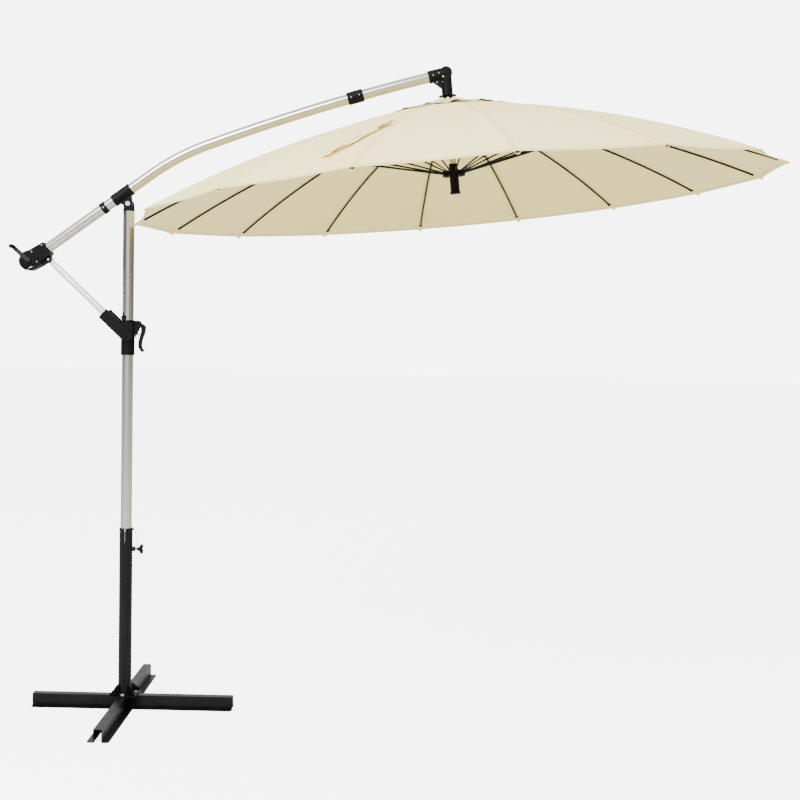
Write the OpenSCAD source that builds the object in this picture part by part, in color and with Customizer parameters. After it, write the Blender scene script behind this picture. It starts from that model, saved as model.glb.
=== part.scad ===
// Cantilever parasol with a winding handle, a tilting boom and a cross base.
// Millimetres, +Z up. The origin is on the ground at the centre of the cross base, on the mast's axis.
// +X points along the boom towards the canopy.

/* [Base] */
// Reach of the long base rail away from the canopy
rail_back = 395; // [330:1:500]
// Reach of the long base rail towards the canopy
rail_front = 470; // [380:1:600]
// Reach of the cross rail to each side
rail_side = 470; // [380:1:600]
// Width of a rail's raised ridge
ridge_w = 36; // [34:1:44]
// Height of a rail above the ground
ridge_h = 54; // [36:1:64]
// Width of each flange that lies on the ground
flange_w = 27; // [20:1:45]
// Thickness of the rails' folded steel
rail_t = 3; // [2:0.5:4]
// Side of the square foot plate
plate_w = 116; // [100:1:140]
// Thickness of the foot plate
plate_t = 6; // [4:1:10]
// Distance of each base bolt from the centre
bolt_ring = 46; // [40:1:50]
// Diameter of the base bolts
bolt_d = 10; // [8:1:12]
// Reach of a gusset along the foot plate's diagonal
gusset_reach = 78; // [60:1:82]
// Height of a gusset above the foot plate
gusset_h = 40; // [25:1:60]

/* [Post] */
// Space between the mast and the post's wall, which the two liners fill
post_gap = 1; // [0.5:0.1:3]
// Wall of the post
post_wall = 3; // [2:0.5:3]
// Height of the post's rim above the ground
post_top = 780; // [600:1:900]
// Height of the lock knob's axis
knob_z = 690; // [560:1:720]
// Diameter of the lock knob's screw
screw_d = 7; // [6:1:8]

/* [Mast] */
// Outside diameter of the mast
mast_d = 48; // [40:1:58]
// Wall of the mast and boom tubes
tube_wall = 1.8; // [1.2:0.1:2.5]
// Height of the mast's lower end above the ground
mast_foot = 330; // [200:1:450]
// Height of the boom's pivot above the ground
pivot_z = 2164; // [1800:1:2300]

/* [Boom] */
// Outside diameter of the boom tube
boom_d = 44; // [34:1:52]
// Distance of the tee clamp's tube from the boom's pivot
tee_drop = 20.5; // [20:0.5:36]
// Slope of the boom's straight part
boom_slope = 36.3; // [30:0.1:42]
// Length of the boom's straight part below the pivot
boom_tail = 432; // [380:1:500]
// Length of the boom's straight part above the pivot
boom_straight = 146; // [80:1:220]
// Radius of the boom's first bend
bend_r = 1030; // [800:10:1500]
// Angle of the boom's first bend
bend_angle = 15.3; // [10:0.1:20]
// How much shorter the boom's long upper sweep is than the canopy's radius
sweep_less = 301; // [200:1:400]
// Angle of the boom's long upper sweep
sweep_angle = 6.47; // [5:0.01:7]

/* [Brace] */
// Outside diameter of the brace tube
brace_d = 28; // [24:1:32]
// Distance of the brace's upper pin along the boom from the boom's pivot
brace_along = 415; // [380:1:450]
// Distance of the brace's upper pin below the boom tube
pin_drop = 19; // [18:1:30]
// Distance of the sleeve's pivot below the boom's pivot
sleeve_drop = 557; // [480:1:640]

/* [Canopy] */
// Radius of the canopy at a rib
canopy_r = 1350; // [1200:1:1620]
// Height of the ribs' hinge ring above the rim
canopy_rise = 405; // [330:1:480]
// Radius of a rib's bow
rib_bow_r = 5000; // [4000:50:9000]
// Lean of the canopy's axis towards the mast at rest
canopy_lean = 6.05; // [0:0.05:10]
// Distance from the elbow's corner down to the middle of the rim
hang = 539; // [480:1:620]
// Number of ribs
rib_count = 16; // [16:1:16]
// Turn of the first rib from the boom's plane
rib_phase = 5.67; // [0:0.01:11]
// Diameter of a rib rod
rib_d = 8; // [6:0.1:9.6]
// Diameter of a stretcher rod
stretcher_d = 7; // [5:0.5:8]
// Radius from the axis of the joint between a rib and its stretcher
joint_r = 620; // [450:1:700]
// Thickness of the fabric
fabric_t = 1.2; // [1:0.1:2]
// Radius of the vent cap over the crown
vent_r = 268; // [220:1:320]
// Outside diameter of the centre pole
pole_d = 28; // [24:1:30]

/* [Hidden] */
$fn = 96;
rib_ids = [for (i = [1:rib_count]) str(i < 10 ? "0" : "", i)];

// Clearances
gap = 0.4;              // between pieces that must not touch
run = 0.05;             // radial, for a pin that turns in its bore
slide = 0.1;            // radial, for a tube that turns or slides in a liner
cut = 1;                // how far a cutting shape runs past what it cuts

// Post and mast
mast_r = mast_d / 2;
post_r = mast_r + post_gap + post_wall;
plate_z = ridge_h + plate_t;
boss_r = 10.5;
boss_len = 12;
liner_len = 50;
cheek_r = 19;
cheek_t = 7;
cheek_gap = 15;
tee_wall = 4;
mast_top = pivot_z - cheek_r - 11;
collar_h = 6;
pivot_r = 5;
sleeve_z = pivot_z - sleeve_drop;
sleeve_r = mast_r + 5;
sleeve_low = sleeve_z - 82;
sleeve_top = sleeve_z + 66;
body_low = sleeve_z - 4;
body_half = mast_r + 7;
lever_x = body_half + 12;
lever_z = sleeve_top - 14;
lever_len = 114;
lever_half = 13;

// The boom's line in the XZ plane, as [x, z] points
function along(p, a, d) = [p[0] + d * cos(a), p[1] + d * sin(a)];
boom_r = boom_d / 2;
boom_offset = boom_r + tee_wall + tee_drop;
sweep_r = (canopy_r - sweep_less) * 180 / PI / sweep_angle;
tee_foot = along([0, pivot_z], boom_slope + 90, boom_offset);
bend_start = along(tee_foot, boom_slope, boom_straight);
bend_centre = along(bend_start, boom_slope - 90, bend_r);
sweep_slope = boom_slope - bend_angle;
sweep_start = along(bend_centre, sweep_slope + 90, bend_r);
sweep_centre = along(sweep_start, sweep_slope - 90, sweep_r);
end_slope = sweep_slope - sweep_angle;
elbow_corner = along(sweep_centre, end_slope + 90, sweep_r);
joint_slope = sweep_slope - sweep_angle * 0.625;   // where the two boom tubes meet
sleeve_half = 34 / sweep_r * 180 / PI;             // half the joint sleeve's length, as an angle
joint_gap = 0.3 / sweep_r * 180 / PI;
rim_centre = along(elbow_corner, canopy_lean - 90, hang);

// Crank case, in the boom's own directions: x along the boom, z square to it
drum_x = -boom_tail - 51;
drum_r = 42;
case_half = 27;
case_wall = 3;
mouth_x = -boom_tail + 45;
neck_r = boom_r + 4.5;
lug_r = 15;
lug_in = 9.3;
lug_t = 6;
pin_r = 4;
spool_r = 14;
cord_r = 2.5;
crank_len = 86;
crank_turn = 102;       // direction of the crank arm at rest, from the boom

// Brace
brace_drop = boom_r + pin_drop;
brace_pin = along(along(tee_foot, boom_slope, -brace_along), boom_slope - 90, brace_drop);
brace_vec = [0 - brace_pin[0], sleeve_z - brace_pin[1]];
brace_len = norm(brace_vec);
brace_angle = atan2(brace_vec[1], brace_vec[0]);
yoke_len = 138;
yoke_open = 103;
yoke_half = 24.5;
yoke_cheek_t = 6;
yoke_cheek_in = body_half + gap;

// Elbow
elbow_r = boom_r + 4.5;
drop_r = elbow_r - 3;
pulley_r = 14;
corner_turn = end_slope + 90 - canopy_lean;
pulley_back = pulley_r * tan(corner_turn / 2);
pulley_c = along(along(elbow_corner, end_slope, -pulley_back), end_slope - 90, pulley_r);

// Canopy mechanism, in the canopy's own directions: z up its axis, origin at the middle of the rim
pole_r = pole_d / 2;
ring_r = 35;
wire_r = 1.5;
tip_r = canopy_r - 18;
rim_chord = atan2(canopy_rise, canopy_r - ring_r);
rim_half = asin(norm([canopy_rise, canopy_r - ring_r]) / 2 / rib_bow_r);
root_slope = rim_chord - rim_half;
bow_c = [ring_r - rib_bow_r * sin(root_slope), canopy_rise - rib_bow_r * cos(root_slope)];
function bow_slope(r) = asin((r - bow_c[0]) / rib_bow_r);
function bow_z(r, lift) = bow_c[1] + sqrt(pow(rib_bow_r + lift, 2) - pow(r - bow_c[0], 2));
clip_drop = rib_d / 2 + 8;
joint_s = bow_slope(joint_r);
joint_p = along(bow_c, 90 - joint_s, rib_bow_r - clip_drop);
arm = [joint_p[0] - ring_r, canopy_rise - joint_p[1]];
arm_angle = atan2(arm[1], arm[0]);
arm_len = norm(arm);
runner_z = canopy_rise - 2 * arm[1];
eye_half = rib_d / 2 + 0.2;
slot_w = 2 * eye_half + 2 * gap;
runner_r = 48;
runner_half = 11;
handle_r = pole_r + 5.5;
fabric_lift = rib_d / 2 + 2.2;
vent_lift = 9;
main_hole_r = 172;
cap_r = 24;
gore_cols = 2 * rib_count;
main_rings = 8;
vent_rings = 3;
scallop = 0.012;

module tube(r, wall, h) {
    difference() {
        cylinder(r = r, h = h);
        translate([0, 0, -cut]) cylinder(r = r - wall, h = h + 2 * cut);
    }
}

// A flat shape drawn in x and z, made w thick about y = 0
module slab(w) {
    rotate([90, 0, 0]) translate([0, 0, -w / 2]) linear_extrude(w) children();
}

// A round bar along y, centred on y = 0
module cross_rod(r, w) {
    rotate([90, 0, 0]) translate([0, 0, -w / 2]) cylinder(r = r, h = w);
}

// A round bar along x, starting at x = 0
module x_rod(r, w) {
    rotate([0, 90, 0]) cylinder(r = r, h = w);
}

// Places children at [x, z] in the boom's plane, turned so that their x runs at an angle
module at(p, a = 0) {
    translate([p[0], 0, p[1]]) rotate([0, -a, 0]) children();
}

module at_boom() {
    at(tee_foot, boom_slope) children();
}

// The canopy's own directions
module at_canopy() {
    at(rim_centre, canopy_lean) children();
}

// The plane of rib i: x outwards, z up
module at_rib(i) {
    at_canopy() rotate([0, 0, 180 + rib_phase + (i - 1) * 360 / rib_count]) children();
}

// A ring section swept round a centre in the XZ plane between two slopes
module arc_bar(centre, r, from, to, r_out, r_in = 0) {
    sides = r_out > 10 ? 64 : 24;
    at(centre, to + 90) rotate([90, 0, 0]) rotate_extrude(angle = from - to, $fn = 720)
        translate([r, 0]) difference() {
            circle(r = r_out, $fn = sides);
            if (r_in > 0) circle(r = r_in, $fn = sides);
        }
}

/* Base */

base_half = ridge_w / 2 + flange_w;
lap_z = ridge_h / 2;
foot_round = 12;        // corner radius of the flanges' ends

module rail_shape() {
    half = ridge_w / 2;
    translate([-half, ridge_h - rail_t]) square([ridge_w, rail_t]);
    for (s = [-1, 1]) {
        translate([s > 0 ? half - rail_t : -half, 0]) square([rail_t, ridge_h]);
        translate([s > 0 ? half - rail_t : -base_half, 0]) square([flange_w + rail_t, rail_t]);
    }
}

// A rail along x from -back to front, with rounded corners on the ends of its flanges
module rail_bar(back, front) {
    intersection() {
        rotate([90, 0, 90]) translate([0, 0, -back]) linear_extrude(back + front) rail_shape();
        translate([0, 0, -cut]) linear_extrude(ridge_h + 2 * cut) {
            translate([-back, -base_half + foot_round]) square([back + front, 2 * (base_half - foot_round)]);
            translate([-back + foot_round, -base_half]) square([back + front - 2 * foot_round, 2 * base_half]);
            for (x = [-back + foot_round, front - foot_round], y = [-1, 1])
                translate([x, y * (base_half - foot_round)]) circle(r = foot_round);
        }
    }
}

module rail_holes() {
    for (s = [-1, 1]) translate([s * bolt_ring, 0, ridge_h - 10]) cylinder(r = bolt_d / 2 + gap, h = 20);
}

module base_rail_long() {
    notch = ridge_w / 2 + gap;
    color("#1c1d1f") {
        difference() {
            rail_bar(rail_back, rail_front);
            rail_holes();
            translate([-notch, -ridge_w, lap_z]) cube([2 * notch, 2 * ridge_w, ridge_h]);
        }
        // Tie plate that closes the middle of the rail underneath
        translate([-30, -ridge_w / 2, 0]) cube([60, ridge_w, rail_t]);
    }
}

module base_rail_cross() {
    notch = ridge_w / 2 + gap;
    reach = base_half + gap;
    color("#1c1d1f") rotate([0, 0, 90]) difference() {
        rail_bar(rail_side, rail_side);
        rail_holes();
        translate([-notch, -ridge_w, -cut]) cube([2 * notch, 2 * ridge_w, lap_z + gap + cut]);
        translate([-reach, -2 * reach, -cut]) cube([2 * reach, 4 * reach, rail_t + gap + cut]);
    }
}

module gusset() {
    slab(4) polygon([[post_r - 2, plate_z - 1], [gusset_reach, plate_z - 1], [gusset_reach, plate_z + 5],
        [post_r + 6, plate_z + gusset_h], [post_r - 2, plate_z + gusset_h]]);
}

module post() {
    bore = post_r - post_wall;
    color("#1a1b1d") difference() {
        union() {
            translate([-plate_w / 2, -plate_w / 2, ridge_h]) cube([plate_w, plate_w, plate_t]);
            translate([0, 0, ridge_h]) cylinder(r = post_r, h = post_top - ridge_h);
            translate([0, 0, post_top - 16]) cylinder(r1 = post_r, r2 = post_r + 1.5, h = 16);
            for (a = [45:90:315]) rotate([0, 0, a]) gusset();
            translate([post_r - 1, 0, knob_z]) x_rod(boss_r, boss_len + 1);
            translate([post_r - 1, -3, post_top - 9]) cube([6, 6, 9]);
        }
        // The post is hollow: a stop ring carries the mast, and two plastic liners guide it
        translate([0, 0, plate_z]) cylinder(r = bore - 8, h = post_top);
        translate([0, 0, plate_z]) cylinder(r = bore, h = mast_foot - 10 - plate_z);
        translate([0, 0, mast_foot - gap]) cylinder(r = mast_r + slide, h = post_top);
        translate([0, 0, mast_foot + liner_len])
            cylinder(r = bore, h = post_top - mast_foot - 2 * liner_len);
        translate([0, 0, knob_z]) x_rod(screw_d / 2 + run, 100);
        for (a = [0:90:270]) rotate([0, 0, a]) translate([bolt_ring, 0, ridge_h - cut])
            cylinder(r = bolt_d / 2 + gap, h = plate_t + 2 * cut);
        // Clamping slit with a V mouth, in front
        translate([-1.5, -post_r - 5, post_top - 60]) cube([3, 20, 61]);
        translate([0, -post_r + 8, post_top + 1]) slab(30) polygon([[-8, 0], [8, 0], [0, -18]]);
    }
}

module base_bolts() {
    color("#8d8f92") for (a = [0:90:270]) rotate([0, 0, a]) translate([bolt_ring, 0, 0]) {
        translate([0, 0, plate_z]) cylinder(r = bolt_d * 0.8, h = 1.5);
        translate([0, 0, plate_z + 1.5]) cylinder(r = bolt_d * 0.85, h = bolt_d * 0.6, $fn = 6);
        translate([0, 0, ridge_h - 26]) cylinder(r = bolt_d / 2, h = plate_t + 26);
        translate([0, 0, ridge_h - rail_t - bolt_d * 0.8]) cylinder(r = bolt_d * 0.85, h = bolt_d * 0.8, $fn = 6);
    }
}

tether_top = [post_r + 5 + gap, post_top - 4];
tether_end = [post_r + boss_len + 6, knob_z + 6.2];
tether_r = 103;

// A thin wire that keeps the knob with the post: a bowed run, and a ring round the screw
module knob_tether() {
    v = tether_end - tether_top;
    half = asin(norm(v) / 2 / tether_r);
    facing = atan2(v[1], v[0]);
    centre = along(along(tether_top, facing, norm(v) / 2), facing - 90, tether_r * cos(half));
    color("#9a9c9e") {
        arc_bar(centre, tether_r, facing + half, facing - half, 1);
        translate([tether_end[0], 0, knob_z]) rotate([0, 90, 0]) rotate_extrude() translate([6.2, 0])
            circle(r = 1, $fn = 32);
    }
}

/* Lock knob */

knob_x = post_r + boss_len + 10;

module lock_knob() {
    wing = 21;
    color("#151617") translate([0, 0, knob_z]) {
        difference() {
            union() {
                translate([knob_x, 0, 0]) x_rod(8.5, 20);
                translate([knob_x, 0, 0]) slab(9) polygon([[0, -6], [6, -7], [14, -wing], [23, -wing + 2],
                    [24, -7], [20, 0], [24, 7], [23, wing - 2], [14, wing], [6, 7], [0, 6]]);
            }
            translate([knob_x - cut, 0, 0]) x_rod(screw_d / 2 - 0.5, 10);
        }
        translate([mast_r + gap, 0, 0]) x_rod(screw_d / 2, knob_x - mast_r - gap);
    }
}

/* Mast */

module mast_tube() {
    color("#b9bcc0") translate([0, 0, mast_foot]) tube(mast_r, tube_wall, mast_top - mast_foot);
}

module cheek() {
    circle(r = cheek_r);
    translate([-cheek_r, -cheek_r - 6]) square([2 * cheek_r, cheek_r + 6]);
}

module mast_head() {
    color("#18191a") difference() {
        union() {
            translate([0, 0, mast_top - 50]) cylinder(r = mast_r - tube_wall - 0.05, h = 50);
            translate([0, 0, mast_top]) cylinder(r = mast_r, h = collar_h);
            for (s = [-1, 1]) translate([0, s * (cheek_gap + cheek_t / 2), pivot_z]) slab(cheek_t) cheek();
        }
        translate([0, 0, pivot_z]) cross_rod(pivot_r + run, 80);
    }
}

module tee_pivot_bolt() {
    head = cheek_gap + cheek_t;
    color("#c9cbce") translate([0, 0, pivot_z]) {
        cross_rod(pivot_r, 2 * head);
        for (s = [-1, 1]) translate([0, s * (head + 2.5), 0]) cross_rod(10, 5);
    }
}

/* Sleeve that slides on the mast, with its clamping lever */

module slide_sleeve() {
    ear = lever_half + gap;
    color("#161718") difference() {
        union() {
            translate([0, 0, sleeve_low]) cylinder(r = sleeve_r, h = sleeve_top - sleeve_low);
            translate([0, 0, body_low]) linear_extrude(sleeve_top - body_low - 9) sleeve_body();
            translate([0, 0, sleeve_top - 9]) cylinder(r1 = body_half - 1, r2 = sleeve_r + 0.5, h = 9);
            translate([0, 0, sleeve_low]) cylinder(r = sleeve_r + 1.5, h = 5);
            for (s = [-1, 1]) translate([0, s * (ear + 2.5), 0]) slab(5) {
                translate([lever_x, lever_z]) circle(r = 13);
                polygon([[body_half - 6, lever_z + 12], [lever_x, lever_z + 12.9], [lever_x + 12.8, lever_z - 2],
                    [body_half + 9, lever_z - 40], [body_half - 6, lever_z - 56]]);
            }
            translate([lever_x, 0, lever_z]) cross_rod(3, 2 * (ear + 5));
            translate([body_half - 3, 0, lever_z - 46]) x_rod(3, 22);
        }
        translate([0, 0, sleeve_low - cut]) cylinder(r = mast_r + slide, h = sleeve_top - sleeve_low + 2 * cut);
    }
}

module sleeve_body() {
    square([2 * body_half, 2 * body_half - 20], center = true);
    square([2 * body_half - 20, 2 * body_half], center = true);
    for (x = [-1, 1], y = [-1, 1]) translate([x * (body_half - 10), y * (body_half - 10)]) circle(r = 10);
}

// The lever bows away from the sleeve, comes back in and curls out at its end.
// Its middle line and half its thickness, d below the hinge:
function lever_mid(d) = lever_x + 17 + 7 * cos(360 * (d - 22) / 132) + 7 * pow(max(0, d - 98) / 18, 2);
function lever_thick(d) = 9.5 - 3 * min(1, d / 70);
lever_top = 6;

module sleeve_lever() {
    steps = [for (i = [0:24]) lever_top + (lever_len - lever_top) * i / 24];
    back = [for (i = [24:-1:0]) steps[i]];
    outer = [for (d = steps) [lever_mid(d) + lever_thick(d), lever_z - d]];
    inner = [for (d = back) [lever_mid(d) - lever_thick(d), lever_z - d]];
    color("#141516") difference() {
        union() {
            slab(2 * lever_half) polygon(concat(outer, inner));
            translate([lever_mid(lever_len), 0, lever_z - lever_len]) cross_rod(lever_thick(lever_len) - 0.1,
                2 * lever_half - 1);
            translate([lever_x, 0, lever_z]) cross_rod(8, 2 * lever_half);
            slab(2 * lever_half - 2) polygon([[lever_x, lever_z + 7], [lever_x + 9, lever_z + 6],
                [lever_mid(10) + 5, lever_z - 7], [lever_mid(22), lever_z - 22], [lever_x - 2, lever_z - 7]]);
        }
        translate([lever_x, 0, lever_z]) cross_rod(3 + run, 4 * lever_half);
    }
}

/* Boom */

module tee_clamp() {
    tongue = cheek_gap - gap;
    color("#17181a") difference() {
        union() {
            at_boom() translate([-45, 0, 0]) x_rod(boom_r + tee_wall, 90);
            at_boom() slab(2 * tongue) polygon([[-30, -boom_r], [30, -boom_r],
                [16, -boom_offset], [-16, -boom_offset]]);
            translate([0, 0, pivot_z]) cross_rod(18, 2 * tongue);
        }
        at_boom() translate([-46, 0, 0]) x_rod(boom_r + 0.05, 92);
        translate([0, 0, pivot_z]) cross_rod(pivot_r + run, 80);
    }
}

// One bent tube, drawn as three lengths with a hairline between them where the curve changes
module boom_lower() {
    line = 0.1;
    bore = boom_r - tube_wall;
    color("#b9bcc0") {
        at_boom() translate([-boom_tail, 0, 0]) tube_along(boom_tail + boom_straight);
        arc_bar(bend_centre, bend_r, boom_slope - line / bend_r * 180 / PI, sweep_slope, boom_r, bore);
        arc_bar(sweep_centre, sweep_r, sweep_slope - line / sweep_r * 180 / PI, joint_slope + joint_gap,
            boom_r, bore);
    }
}

module tube_along(length) {
    rotate([0, 90, 0]) tube(boom_r, tube_wall, length);
}

upper_end = end_slope + (pulley_back + pulley_r + 7) / sweep_r * 180 / PI;   // clear of the pulley

module boom_upper() {
    color("#b9bcc0")
        arc_bar(sweep_centre, sweep_r, joint_slope - joint_gap, upper_end, boom_r, boom_r - tube_wall);
}

module boom_collars() {
    color("#151617") {
        at_boom() translate([-105, 0, 0]) difference() {
            x_rod(boom_r + 3.5, 22);
            translate([-cut, 0, 0]) x_rod(boom_r + 0.05, 22 + 2 * cut);
        }
        arc_bar(sweep_centre, sweep_r, joint_slope + sleeve_half, joint_slope - sleeve_half,
            boom_r + 5, boom_r + 0.05);
    }
}

/* Elbow between boom and canopy pole */

module elbow() {
    socket = 62;
    drop = 92;
    color("#17181a") difference() {
        union() {
            at(elbow_corner, end_slope) translate([-socket - 12, 0, 0]) x_rod(elbow_r, socket + 12);
            at(elbow_corner, canopy_lean) translate([0, 0, -drop]) cylinder(r = drop_r, h = drop);
            translate([elbow_corner[0], 0, elbow_corner[1]]) cross_rod(elbow_r, 2 * drop_r);
            at(elbow_corner, end_slope) slab(30) polygon([[-socket, 0], [-socket, -elbow_r + 4],
                [-elbow_r, -62], [0, -70], [0, 0]]);
        }
        arc_bar(sweep_centre, sweep_r, end_slope + 0.6, upper_end, boom_r + 0.05);
        at(elbow_corner, canopy_lean) translate([0, 0, -drop - cut]) cylinder(r = pole_r + 0.05, h = drop - 35);
        // Chamber for the pulley, and the cord's way through
        translate([pulley_c[0], 0, pulley_c[1]]) cross_rod(pulley_r + 7, 13);
        at(elbow_corner, end_slope) translate([-42, 0, 0]) x_rod(6, 42);
        at(elbow_corner, canopy_lean) translate([0, 0, -45]) cylinder(r = 6, h = 45);
        translate([pulley_c[0], 0, pulley_c[1]]) cross_rod(3 + run, 90);
    }
}

module elbow_pulley() {
    groove = cord_r + 0.4;
    color("#d8d8d4") translate([pulley_c[0], 0, pulley_c[1]]) {
        difference() {
            cross_rod(pulley_r + 3, 11);
            rotate([90, 0, 0]) rotate_extrude() translate([pulley_r, 0]) {
                circle(r = groove, $fn = 32);
                translate([0, -groove]) square([8, 2 * groove]);
            }
        }
        cross_rod(3, 2 * drop_r + 4);
    }
}

/* Winding case at the boom's lower end */

module case_outline() {
    translate([drum_x, 0]) circle(r = drum_r);
    polygon([[drum_x, drum_r - 4], [mouth_x - 12, neck_r + 3], [mouth_x, neck_r], [mouth_x, -neck_r],
        [-brace_along + 12, -brace_drop + 4], [-brace_along - 6, -brace_drop - 10], [drum_x, -drum_r]]);
}

module case_half_shell(s) {
    difference() {
        at_boom() difference() {
            union() {
                translate([0, s * (case_half / 2 + 0.05), 0]) slab(case_half - 0.1) case_outline();
                translate([-brace_along, s * case_half / 2, -brace_drop]) cross_rod(lug_r, case_half - 0.1);
                translate([drum_x, s * case_half, 0]) cross_rod(14, 6);
            }
            // Spool chamber, open to the tube
            translate([drum_x, 0, 0]) cross_rod(drum_r - 8, 2 * (case_half - case_wall - 2));
            translate([drum_x, 0, 0]) cross_rod(5 + run, 2 * case_half + 20);
            translate([drum_x, -10, -12]) cube([60, 20, 32]);
            translate([-boom_tail, 0, 0]) x_rod(boom_r + 0.05, boom_tail);
            // Room for the brace's end to swing
            translate([-brace_along, 0, -brace_drop]) cross_rod(lug_r + 1, 2 * lug_in);
            translate([-brace_along - 60, -lug_in, -brace_drop - 60]) cube([120, 2 * lug_in, 61]);
            translate([-brace_along, 0, -brace_drop]) cross_rod(pin_r + run, 80);
            // Face of each lug
            for (k = [-1, 1]) translate([-brace_along - 30, k * (lug_in + lug_t + 10) - 10, -brace_drop - 30])
                cube([60, 20, 39]);
            crescent();
        }
    }
}

// See-through window beside the drum
module crescent() {
    slab(3 * case_half) difference() {
        translate([drum_x, 0]) circle(r = 31);
        translate([drum_x, 0]) circle(r = 23);
        translate([drum_x - 50, -12]) square([100, 80]);
        translate([drum_x + 8, -50]) square([60, 60]);
    }
}

module crank_case_front() {
    color("#17181a") difference() {
        case_half_shell(-1);
        case_screw_holes();
    }
}

module crank_case_back() {
    color("#17181a") case_half_shell(1);
    color("#c9cbce") case_screws();
}

case_screw_at = [[drum_x + 26, -24], [drum_x + 33, 22], [mouth_x - 12, 27]];

module case_screws() {
    at_boom() for (p = case_screw_at) translate([p[0], 0, p[1]]) {
        translate([0, -case_half / 2 + 4, 0]) cross_rod(2, case_half + 4);
        translate([0, -case_half + 1.5, 0]) cross_rod(4, 3);
    }
}

module case_screw_holes() {
    at_boom() for (p = case_screw_at) translate([p[0], 0, p[1]]) {
        cross_rod(2.3, 3 * case_half);
        translate([0, -case_half, 0]) cross_rod(4.3, 6.6);
    }
}

module rope_spool() {
    color("#cfcfca") at_boom() translate([drum_x, 0, 0]) difference() {
        union() {
            cross_rod(spool_r - cord_r, 30);
            for (s = [-1, 1]) translate([0, s * 14, 0]) cross_rod(21, 2.5);
            for (i = [-2:2]) translate([0, i * 5, 0]) rotate([90, 0, 0]) rotate_extrude()
                translate([spool_r - cord_r, 0]) circle(r = cord_r - 0.05, $fn = 32);
        }
        cross_rod(5, 80);
    }
}

module crank_handle() {
    face = case_half + 4;
    color("#a9abae") at_boom() translate([drum_x, 0, 0]) {
        translate([0, -10, 0]) cross_rod(4.95, 2 * face - 16);
        translate([0, -face - 4, 0]) cross_rod(11, 8);
        rotate([0, -crank_turn, 0]) translate([0, -face - 4, 0]) {
            slab(6) polygon([[0, -9], [crank_len, -8.5], [crank_len + 7, -4], [crank_len + 7, 4], [crank_len, 8.5], [0, 9]]);
            translate([crank_len, 0, -2]) cross_rod(6.5, 6.6);
            translate([crank_len, -12, -2]) cross_rod(5.5, 24);
        }
    }
}

/* Brace between the boom's lower end and the sleeve */

module at_brace() {
    at(brace_pin, brace_angle) children();
}

module brace_tube() {
    eye_w = 2 * (lug_in - 0.5);
    color("#e4e6e8") at_brace() {
        difference() {
            translate([34, 0, 0]) x_rod(brace_d / 2, brace_len - yoke_open - 37);
            translate([50, 0, 0]) x_rod(brace_d / 2 - 1.5, brace_len);
        }
        translate([8, 0, 0]) intersection() {
            x_rod(brace_d / 2 - 2, 30);
            translate([0, -eye_w / 2, -20]) cube([30, eye_w, 40]);
        }
        cross_rod(lug_r - 2, eye_w);
        cross_rod(pin_r, 2 * (lug_in + lug_t));
    }
}

module brace_yoke() {
    outer = 2 * (yoke_cheek_in + yoke_cheek_t);
    color("#141516") at_brace() translate([brace_len, 0, 0]) difference() {
        union() {
            for (s = [-1, 1]) translate([0, s * (yoke_cheek_in + yoke_cheek_t / 2), 0]) slab(yoke_cheek_t) {
                circle(r = yoke_half);
                polygon([[0, yoke_half], [-yoke_len + 4, yoke_half], [-yoke_len, yoke_half - 4],
                    [-yoke_len, -yoke_half + 4], [-yoke_len + 4, -yoke_half], [0, -yoke_half]]);
            }
            translate([-yoke_len, 0, 0]) x_rod(brace_d / 2 + 4, yoke_len - yoke_open);
            translate([-yoke_len, -outer / 2 + 1, -15]) cube([yoke_len - yoke_open, outer - 2, 30]);
        }
        translate([-yoke_len - cut, 0, 0]) x_rod(brace_d / 2 + 0.05, yoke_len - yoke_open - 1);
    }
    // Trunnion caps outside the cheeks
    color("#c9cbce") at_brace() translate([brace_len, 0, 0]) for (s = [-1, 1])
        translate([0, s * (outer / 2 + 1), 0]) cross_rod(9, 3);
}

/* Canopy frame */

module centre_pole() {
    color("#c2c5c8") at(elbow_corner, canopy_lean) translate([0, 0, -hang + 52])
        tube(pole_r, 1.5, hang - 52 - 37);
}

module rib_slots(z, h, w) {
    for (i = [1:rib_count]) rotate([0, 0, 180 + rib_phase + (i - 1) * 360 / rib_count])
        translate([27, -w / 2, z]) cube([40, w, h]);
}

module crown_hub() {
    low = canopy_rise - 9;
    color("#17181a") at_canopy() {
        difference() {
            union() {
                translate([0, 0, low]) cylinder(r = 52, h = 20);
                translate([0, 0, low + 20]) cylinder(r = pole_r + 6, h = 30);
                translate([0, 0, canopy_rise + 38]) cylinder(r = 38, h = 3);
            }
            rib_slots(low - cut, 18 + cut, slot_w);
            translate([0, 0, low - cut]) cylinder(r = pole_r + 0.05, h = 100);
        }
        translate([0, 0, canopy_rise]) rotate_extrude() translate([ring_r, 0]) circle(r = wire_r, $fn = 32);
    }
}

module runner() {
    low = runner_z - runner_half;
    groove = 2.9;
    color("#17181a") at_canopy() difference() {
        union() {
            translate([0, 0, low]) cylinder(r = runner_r, h = 2 * runner_half);
            translate([0, 0, low]) cylinder(r = pole_r + 5, h = 2 * runner_half + 30);
            translate([0, 0, 40]) cylinder(r = handle_r, h = low - 38);
            translate([0, 0, 34]) cylinder(r1 = handle_r + 4, r2 = handle_r + 0.5, h = 12);
        }
        rib_slots(low - cut, 3 * runner_half, stretcher_d + 0.2);
        translate([0, 0, low - cut]) difference() {
            cylinder(r = ring_r + groove, h = runner_half + cut + 2.4);
            translate([0, 0, -cut]) cylinder(r = ring_r - groove, h = 2 * runner_half + 2 * cut);
        }
        translate([0, 0, 39]) cylinder(r = pole_r + 0.3, h = runner_z + 100);
        translate([0, 0, 33]) cylinder(r = cord_r + 1, h = 8);
    }
}

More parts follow.
